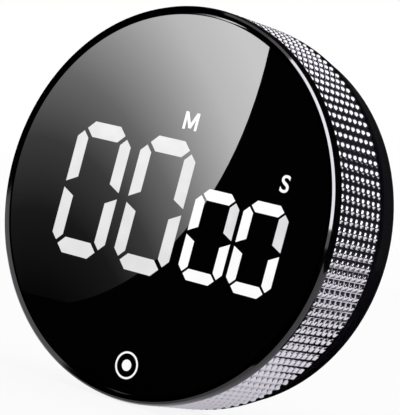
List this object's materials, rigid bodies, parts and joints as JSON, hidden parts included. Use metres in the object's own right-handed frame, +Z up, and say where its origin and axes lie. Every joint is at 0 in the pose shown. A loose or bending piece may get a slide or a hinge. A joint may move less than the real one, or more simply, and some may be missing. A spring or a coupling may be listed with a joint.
{
  "type": "digital rotary timer",
  "caption": "Round magnetic timer: a knurled dial ring turns round a pressable display lens; battery door, volume slider and holding magnets at the back.",
  "frame": {"origin": "centre of the back face, on the dial axis, in the plane that lies against a steel door", "axes": "+Z up, the face looks along -Y, +X to the right as seen from the front; the dial turns about Y"},
  "size_m": [0.079, 0.0256, 0.079],
  "materials": {
    "gloss_black": "polished black moulding",
    "dark_chrome": "dark polished plating",
    "bright_knurl": "cut and polished knurl",
    "smoked_lens": "polished smoked sheet",
    "black_plastic": "fine moulded texture",
    "white_plastic": "natural low-friction moulding",
    "black_film": "printed film",
    "white_film": "diffusing film",
    "lit_segment": "white, lit from behind",
    "circuit_board": "solder mask",
    "plated_steel": "nickel plated",
    "cell_wrap": "plain wrapped cell",
    "lead_insulation": "insulated lead"
  },
  "bodies": {
    "case": {"rear_housing": "gloss_black", "glide_ring": "white_plastic", "display_frame": "black_plastic", "main_pcb": "circuit_board", "board_chips": "black_plastic", "led_module": "black_plastic", "led_segments": "lit_segment", "encoder_body": "plated_steel", "tact_switch": "black_plastic", "buzzer": "black_plastic", "slide_switch": "plated_steel", "battery_cells": "cell_wrap", "contact_plates": "plated_steel", "contact_springs": "plated_steel", "magnets": "plated_steel", "case_screws": "plated_steel", "pcb_screws": "plated_steel", "lead_wires": "lead_insulation"},
    "dial": {"ring_carrier": "black_plastic", "knurled_band": "bright_knurl", "front_trim": "dark_chrome"},
    "encoder": {"encoder_shaft": "plated_steel", "encoder_pinion": "white_plastic"},
    "lens": {"front_lens": "smoked_lens", "lens_holder": "black_plastic", "mask_film": "black_film", "diffuser_sheet": "white_film"},
    "plunger": {"tact_plunger": "white_plastic"},
    "slider": {"volume_slider": "black_plastic"},
    "door": {"battery_door": "black_plastic"}
  },
  "joints": [
    {"name": "dial_turn", "type": "hinge", "parent": "case", "child": "dial", "pos_m": [0, -0.0153, 0], "axis": [0, 1, 0], "continuous": true},
    {"name": "encoder_turn", "type": "hinge", "parent": "case", "child": "encoder", "pos_m": [0, -0.0098, 0.02809], "axis": [0, 1, 0], "continuous": true},
    {"name": "lens_press", "type": "slide", "parent": "case", "child": "lens", "axis": [0, 1, 0], "range_m": [0, 0.00035], "stiffness_N_per_m": 2500, "springref_m": -0.0003},
    {"name": "plunger_press", "type": "slide", "parent": "case", "child": "plunger", "axis": [0, 1, 0], "range_m": [0, 0.00035]},
    {"name": "volume_slide", "type": "slide", "parent": "case", "child": "slider", "axis": [0, 0, 1], "range_m": [-0.0022, 0.0022]},
    {"name": "door_swing", "type": "hinge", "parent": "case", "child": "door", "pos_m": [0, -0.00105, 0.0173], "axis": [1, 0, 0], "range_deg": [0, 95]}
  ],
  "couplings": [
    {"joint": "encoder_turn", "follows": "dial_turn", "ratio": 5},
    {"joint": "plunger_press", "follows": "lens_press", "ratio": 1}
  ]
}
